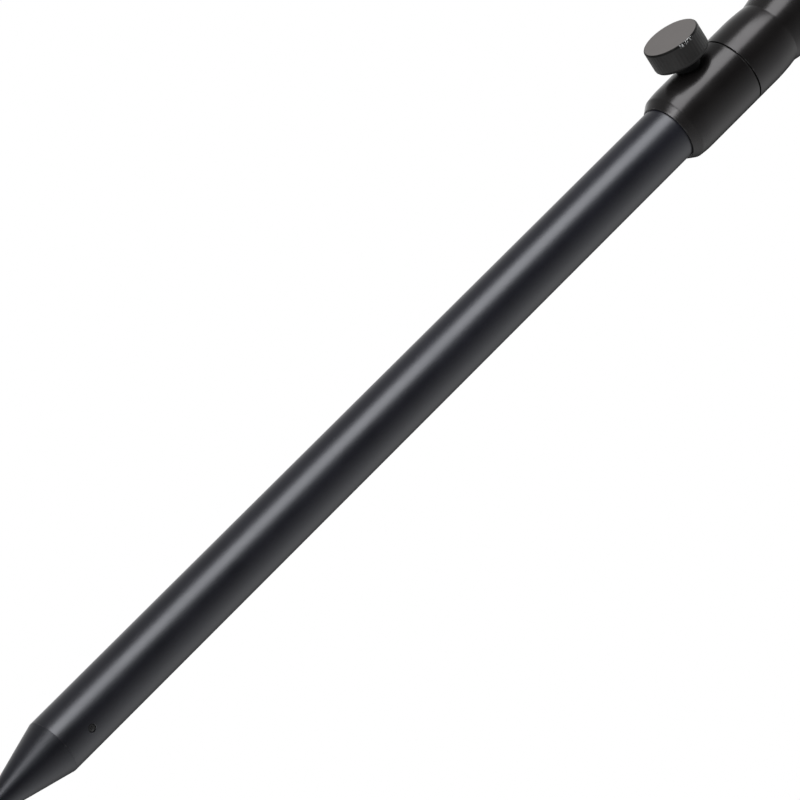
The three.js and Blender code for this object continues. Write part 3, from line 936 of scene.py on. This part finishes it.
class BANKSTICK_OT_guides(bpy.types.Operator):
    """Moulds the wiper ring and gives the guide bush, the guide rings, the pad and the plug their nylon"""

    bl_idname = "bank_stick.guides"
    bl_label = "Guides and Wiper"

    def execute(self, context):
        sizes, finishes = context.scene.stick_sizes, context.scene.stick_finishes
        radius, low, high = box_of("wiper_ring")
        rounding = sizes.wiper_round * (high - low) / 2
        points = ring(radius - (high - low), radius, low, high, rounding, rounding)
        bm = turned(points, 2 * sizes.corner_steps, sizes.round_steps, closed=True)
        finished("wiper", bm, "ground_section", rubber_of(finishes), "wiper_ring")
        for name in ("guide_bush", "guide_ring_lower", "guide_ring_upper", "clamp_pad"):
            recoat(name, nylon_of("White Nylon", finishes.white_nylon))
        recoat("end_plug", nylon_of("Black Nylon", finishes.black_nylon))
        return {"FINISHED"}


class BANKSTICK_OT_thumbscrew(bpy.types.Operator):
    """Turns and knurls the knob, cuts the stud's thread and turns its bush"""

    bl_idname = "bank_stick.thumbscrew"
    bl_label = "Thumbscrew"

    def execute(self, context):
        sizes, screw = context.scene.stick_sizes, context.scene.thumbscrew_sizes
        finishes = context.scene.stick_finishes
        self.knob(sizes, screw, knob_finish(finishes))
        # The stud and the bush get a near-black, weakly reflecting coat as painted shade under the knob.
        self.stud(sizes, screw, blackened(finishes))
        self.bush(sizes, blackened(finishes))
        return {"FINISHED"}

    def knob(self, sizes, screw, coat):
        """Turns the knob and draws one point in four of its side inwards, as grooves."""
        radius, bottom, top = screw_box_of("thumb_knob")
        bore = screw_box_of("thumb_stud")[0] + sizes.bond_gap
        first, last = bottom + screw.lower_round, top - screw.top_round - screw.knurl_end
        points = [
            (0, bottom + screw.grip, 0),
            (bore, bottom + screw.grip, 0),
            (bore, bottom, sizes.edge_break),
            (radius, bottom, screw.round_fill * screw.lower_round),
            (radius, first, 0),
            (radius, first + screw.knurl_end, 0),
            (radius, last - screw.knurl_end, 0),
            (radius, last, 0),
            (radius, top, screw.top_round),
            (0, top, 0),
        ]
        bm = turned(points, sizes.corner_steps, 4 * screw.knurls)
        pitch = 2 * math.pi / screw.knurls
        grooves = [
            vert
            for vert in bm.verts
            if first + screw.knurl_end / 2 < vert.co.z < last - screw.knurl_end / 2
            and vert.co.xy.length > radius - 5 * MERGE
            and abs(math.remainder(math.atan2(vert.co.y, vert.co.x), pitch)) < pitch / 16
        ]
        if len(grooves) != 2 * screw.knurls:
            raise RuntimeError(f"the knob has {len(grooves)} groove points")
        inward = (radius - screw.knurl_depth) / radius
        bmesh.ops.scale(bm, vec=(inward, inward, 1), verts=grooves)
        finished("knob", bm, "thumbscrew", coat, "thumb_knob", along_screw())

    def stud(self, sizes, screw, black):
        """Cuts the stud, with tapered ends and the hole that holds the pad's stem."""
        crest, tip, end = screw_box_of("thumb_stud")
        root = crest - screw.thread_depth
        taper = root - screw.undercut
        pad_radius, _, pad_end = screw_box_of("clamp_pad")
        stem, floor = screw.stem_share * pad_radius, pad_end + 2 * sizes.bond_gap
        start, stop = tip + screw.run_out, end - screw.run_out
        bm = threaded(crest, root, screw.pitch, start, stop, STUD_STEPS)
        lower = [
            (0, floor, 0),
            (stem, floor, 0),
            (stem, tip, 0),
            (root - screw.tip_inset, tip, 0),
            (taper, start, 0),
        ]
        upper = [(taper, stop, 0), (root - screw.end_inset, end, 0), (0, end, 0)]
        for points in (lower, upper):
            spin(bm, outline(bm, points, 1), STUD_STEPS)
        bridge(bm, start)
        bridge(bm, stop)
        finished("stud_threaded", bm, "thumbscrew", black, "thumb_stud", along_screw())

    def bush(self, sizes, black):
        """Turns the bush that the stud runs in."""
        radius, inner, outer = screw_box_of("screw_bush")
        bore = screw_box_of("thumb_stud")[0] + 2 * sizes.bond_gap
        points = ring(bore, radius, inner, outer, 0, 3 * sizes.edge_break)
        bm = turned(points, sizes.corner_steps, BUSH_STEPS, closed=True)
        finished("bush_screw", bm, "ground_section", black, "screw_bush", along_screw())


class BANKSTICK_OT_inner_tube(bpy.types.Operator):
    """Draws the bare inner tube, with the holes of its two pins"""

    bl_idname = "bank_stick.inner_tube"
    bl_label = "Inner Tube"

    def execute(self, context):
        sizes, finishes = context.scene.stick_sizes, context.scene.stick_finishes
        radius, low, high = box_of("inner_tube")
        points = ring(radius - sizes.tube_wall, radius, low, high, sizes.edge_break, sizes.edge_break)
        bm = turned(points, sizes.corner_steps, sizes.round_steps, closed=True)
        bare = bare_metal("Drawn Aluminium", tuple(finishes.aluminium), 0.42, "Drawn", relief=0.12)
        piece = finished("tube_inner", bm, "inner_section", bare, "inner_tube")
        drill(piece, [pin_hole(pin, sizes) for pin in ("plug_pin", "head_pin")])
        return {"FINISHED"}


class BANKSTICK_OT_head(bpy.types.Operator):
    """Turns the head with its neck, its flared band and its stepped bore, and the washer below it"""

    bl_idname = "bank_stick.head"
    bl_label = "Head and Washer"

    def execute(self, context):
        sizes, head = context.scene.stick_sizes, context.scene.head_sizes
        finishes = context.scene.stick_finishes
        straight = box_of("locking_collar")[0]
        band, low, high = box_of("head")
        bottom = low + head.spigot
        neck = bottom + head.neck
        spigot = box_of("inner_tube")[0] - sizes.tube_wall - sizes.bond_gap
        flange = box_of("head_insert")[0] + sizes.bond_gap
        seat = high - head.insert_flange - sizes.bond_gap
        bore = head.socket_radius + head.insert_wall + sizes.bond_gap
        floor = high - head.socket_depth - head.socket_end
        points = [
            (0, low, 0),
            (spigot, low, sizes.spigot_round),
            (spigot, bottom, 0),
            (straight, bottom, head.lower_round),
            (straight, neck - head.curve, head.curve),
            (straight - head.neck_inset, neck, sizes.edge_break),
            (band, neck + head.flare, head.flare_round),
            (band, high, head.rim_round),
            (flange, high, sizes.edge_break),
            (flange, seat, 0),
            (bore, seat, 0),
            (bore, floor, 0),
            (0, floor, 0),
        ]
        bm = turned(points, 2 * sizes.corner_steps, sizes.round_steps)
        coat = collar_coat(finishes)
        piece = finished("head_body", bm, "inner_section", coat, "head")
        drill(piece, [pin_hole("head_pin", sizes)])
        self.washer(sizes, head, rubber_of(finishes))
        return {"FINISHED"}

    def washer(self, sizes, head, rubber):
        """Turns the thin washer between the head and the collar."""
        radius, low, high = box_of("head_washer")
        bore = box_of("inner_tube")[0] + sizes.bond_gap
        points = ring(bore, radius, low, high, head.washer_round, head.washer_round)
        bm = turned(points, sizes.corner_steps, sizes.round_steps, closed=True)
        finished("washer", bm, "inner_section", rubber, "head_washer")


class BANKSTICK_OT_head_insert(bpy.types.Operator):
    """Cuts the threaded brass insert in the head"""

    bl_idname = "bank_stick.head_insert"
    bl_label = "Head Insert"

    def execute(self, context):
        sizes, head = context.scene.stick_sizes, context.scene.head_sizes
        flange, low, high = box_of("head_insert")
        crest = head.socket_radius
        root = crest + head.socket_thread
        clear = root + head.insert_clear
        body = crest + head.insert_wall
        start, stop = low + head.insert_foot, high - head.insert_mouth
        bm = threaded(crest, root, head.socket_pitch, start, stop, BUSH_STEPS)
        points = [
            (clear, start, 0),
            (clear, low, 0),
            (body, low, 3 * sizes.edge_break),
            (body, high - head.insert_flange, 0),
            (flange, high - head.insert_flange, 0),
            (flange, high, sizes.edge_break),
            (clear + head.insert_sink, high, sizes.edge_break),
            (clear, stop, 0),
        ]
        spin(bm, outline(bm, points, sizes.corner_steps), BUSH_STEPS)
        bridge(bm, start)
        bridge(bm, stop)
        metal = tuple(context.scene.stick_finishes.brass)
        brass = bare_metal("Machined Brass", metal, 0.3, "Turned", relief=0.2)
        finished("insert_threaded", bm, "inner_section", brass, "head_insert")
        return {"FINISHED"}


class BANKSTICK_OT_stage(bpy.types.Operator):
    """Sets the camera, the softbox, the reflector, the lamp overhead, the tent, the floor and the world"""

    bl_idname = "bank_stick.stage"
    bl_label = "Stage"

    def execute(self, context):
        stage = context.scene.stage_settings
        self.camera(context, stage)
        self.lamps(stage)
        self.tent(stage)
        self.floor(stage)
        self.world(context, stage)
        context.scene.view_settings.view_transform = "Standard"
        return {"FINISHED"}

    def facing(self, stage, turn, rise):
        """The direction a turn round the stick from the camera's side, and a rise above the horizon."""
        azimuth = stage.azimuth + turn
        level = math.cos(rise)
        return Vector((math.sin(azimuth) * level, -math.cos(azimuth) * level, math.sin(rise)))

    def camera(self, context, stage):
        """Aims the camera at the stick."""
        back = self.facing(stage, 0, stage.elevation)
        right = Vector((0, 0, 1)).cross(back).normalized()
        rotation = Matrix((right, back.cross(right), back)).transposed() @ Matrix.Rotation(stage.roll, 3, "Z")
        aim = Vector((0, 0, stage.aim)) - stage.aim_left * rotation.col[0] + stage.aim_up * rotation.col[1]
        data = bpy.data.cameras.new("camera")
        data.lens = stage.lens
        data.clip_start = 0.05
        data.clip_end = 50
        camera = linked("camera", data)
        camera.matrix_world = Matrix.Translation(aim + stage.distance * back) @ rotation.to_4x4()
        context.scene.camera = camera

    def lamp(self, name, spot, aim, lean, width, height, watts):
        """A rectangular lamp that faces the aimed point and that the camera doesn't see."""
        data = bpy.data.lights.new(name, "AREA")
        data.shape = "RECTANGLE"
        data.size = width
        data.size_y = height
        data.energy = watts
        lamp = linked(name, data)
        towards = (spot - aim).to_track_quat("Z", "Y").to_matrix().to_4x4()
        lamp.matrix_world = Matrix.Translation(spot) @ towards @ Matrix.Rotation(lean, 4, "Z")
        lamp.visible_camera = False

    def lamps(self, stage):
        """Places the softbox, the low reflector and the lamp overhead."""
        aim = Vector((0, 0, stage.aim))
        key = aim + stage.key_distance * self.facing(stage, stage.key_turn, stage.key_rise)
        low = aim + stage.key_distance * self.facing(stage, stage.low_turn, stage.low_rise)
        top = aim + Vector(stage.top_place)
        self.lamp("softbox", key, aim, stage.key_lean, stage.key_width, stage.key_height, stage.key_power)
        self.lamp("reflector", low, aim, 0, stage.low_width, stage.low_height, stage.low_power)
        self.lamp("overhead", top, aim, 0, stage.top_size, stage.top_size, stage.top_power)

    def tent(self, stage):
        """A soft surround that only reflections see: dim in front, pale on the right, half dark behind."""
        radius = stage.tent_radius
        bm = turned([(radius, -stage.tent_depth, 0), (radius, stage.tent_height, 0)], 1, TENT_STEPS)
        tent = linked("tent", mesh_of("tent", bm))
        material, tree, surface = new_material("Tent")
        parts = split(tree, object_place(tree, rotation=(0, 0, stage.azimuth - math.radians(90))))
        direction = maths(tree, "ARCTAN2", parts["Y"], parts["X"])
        ramp = node(tree, "ShaderNodeValToRGB", {"Fac": ranged(tree, direction, 0.0, 1.0, -math.pi, math.pi)})
        ramp.color_ramp.interpolation = "B_SPLINE"
        stops = ramp.color_ramp.elements
        while len(stops) < len(TENT_LEVELS):
            stops.new(0.5)
        for stop, (degrees, level) in zip(stops, TENT_LEVELS):
            stop.position = (degrees + 180) / 360
            stop.color = (level, level, level, 1)
        glow = node(tree, "ShaderNodeEmission", {"Color": ramp.outputs["Color"], "Strength": 1.0})
        tree.links.new(glow.outputs[0], surface)
        tent.data.materials.append(material)
        for ray in ("camera", "diffuse", "shadow", "transmission"):
            setattr(tent, f"visible_{ray}", False)

    def floor(self, stage):
        """A pale floor that fades into the background, keeps shadows, and is clear when seen from below."""
        bm = bmesh.new()
        bmesh.ops.create_circle(bm, cap_ends=True, radius=stage.floor_radius, segments=FLOOR_STEPS)
        floor = linked("floor", mesh_of("floor", bm))
        material, tree, surface = new_material("Floor")
        inputs = {
            "Value": vectors(tree, "LENGTH", object_place(tree))["Value"],
            "From Min": stage.fade_start * stage.floor_radius,
            "From Max": stage.fade_end * stage.floor_radius,
        }
        fade = node(tree, "ShaderNodeMapRange", inputs, interpolation_type="SMOOTHSTEP").outputs["Result"]
        below = node(tree, "ShaderNodeNewGeometry").outputs["Backfacing"]
        seen = node(tree, "ShaderNodeLightPath").outputs["Is Camera Ray"]
        hidden = maths(tree, "MAXIMUM", fade, below)
        lift = maths(tree, "MULTIPLY", seen, stage.floor_glow)
        pale = node(tree, "ShaderNodeBsdfDiffuse", {"Color": (*stage.floor_grey, 1.0)})
        glow = node(tree, "ShaderNodeEmission", {"Color": (*WHITE, 1.0), "Strength": lift})
        lit = node(tree, "ShaderNodeAddShader", {0: pale.outputs[0], 1: glow.outputs[0]})
        clear = node(tree, "ShaderNodeBsdfTransparent")
        mix = node(tree, "ShaderNodeMixShader", {0: hidden, 1: lit.outputs[0], 2: clear.outputs[0]})
        tree.links.new(mix.outputs[0], surface)
        floor.data.materials.append(material)
        floor.visible_glossy = False

    def world(self, context, stage):
        """A plain ambient light, and a white background for the camera and for reflections."""
        world = bpy.data.worlds.new("world")
        world.use_nodes = True
        tree = world.node_tree
        tree.nodes.clear()
        path = node(tree, "ShaderNodeLightPath").outputs
        seen = maths(tree, "MAXIMUM", path["Is Camera Ray"], path["Is Glossy Ray"])
        through = maths(tree, "MAXIMUM", seen, path["Is Transmission Ray"])
        strength = ranged(tree, through, stage.ambient, 1.0, start=0.0, end=1.0)
        light = node(tree, "ShaderNodeBackground", {"Color": (*WHITE, 1.0), "Strength": strength})
        node(tree, "ShaderNodeOutputWorld", {"Surface": light.outputs[0]})
        context.scene.world = world


class BANKSTICK_PT_panel(bpy.types.Panel):
    """Lists the bank stick's sizes, finishes and steps"""

    bl_idname = "BANKSTICK_PT_panel"
    bl_label = "Bank Stick"
    bl_space_type = "VIEW_3D"
    bl_region_type = "UI"
    bl_category = "Bank Stick"

    def draw(self, context):
        for group in SETTINGS:
            box = self.layout.box()
            box.label(text=group.replace("_", " ").capitalize())
            settings = getattr(context.scene, group)
            for name in settings.__annotations__:
                box.prop(settings, name)
        for operator in OPERATORS:
            self.layout.operator(operator.bl_idname)


SETTINGS = {
    "stick_sizes": StickSizes,
    "collar_sizes": CollarSizes,
    "thumbscrew_sizes": ThumbscrewSizes,
    "head_sizes": HeadSizes,
    "stick_finishes": Finishes,
    "stage_settings": StageSettings,
}

OPERATORS = (
    BANKSTICK_OT_ground_point,
    BANKSTICK_OT_outer_tube,
    BANKSTICK_OT_cross_pins,
    BANKSTICK_OT_locking_collar,
    BANKSTICK_OT_guides,
    BANKSTICK_OT_thumbscrew,
    BANKSTICK_OT_inner_tube,
    BANKSTICK_OT_head,
    BANKSTICK_OT_head_insert,
    BANKSTICK_OT_stage,
)


def register():
    for name, group in SETTINGS.items():
        bpy.utils.register_class(group)
        setattr(bpy.types.Scene, name, PointerProperty(type=group))
    for operator in OPERATORS:
        bpy.utils.register_class(operator)
    bpy.utils.register_class(BANKSTICK_PT_panel)


def unregister():
    bpy.utils.unregister_class(BANKSTICK_PT_panel)
    for operator in reversed(OPERATORS):
        bpy.utils.unregister_class(operator)
    for name, group in reversed(SETTINGS.items()):
        delattr(bpy.types.Scene, name)
        bpy.utils.unregister_class(group)


def main():
    register()
    bpy.ops.bank_stick.ground_point()
    bpy.ops.bank_stick.outer_tube()
    bpy.ops.bank_stick.cross_pins()
    bpy.ops.bank_stick.locking_collar()
    bpy.ops.bank_stick.guides()
    bpy.ops.bank_stick.thumbscrew()
    bpy.ops.bank_stick.inner_tube()
    bpy.ops.bank_stick.head()
    bpy.ops.bank_stick.head_insert()
    bpy.ops.bank_stick.stage()


if __name__ == "__main__":
    main()
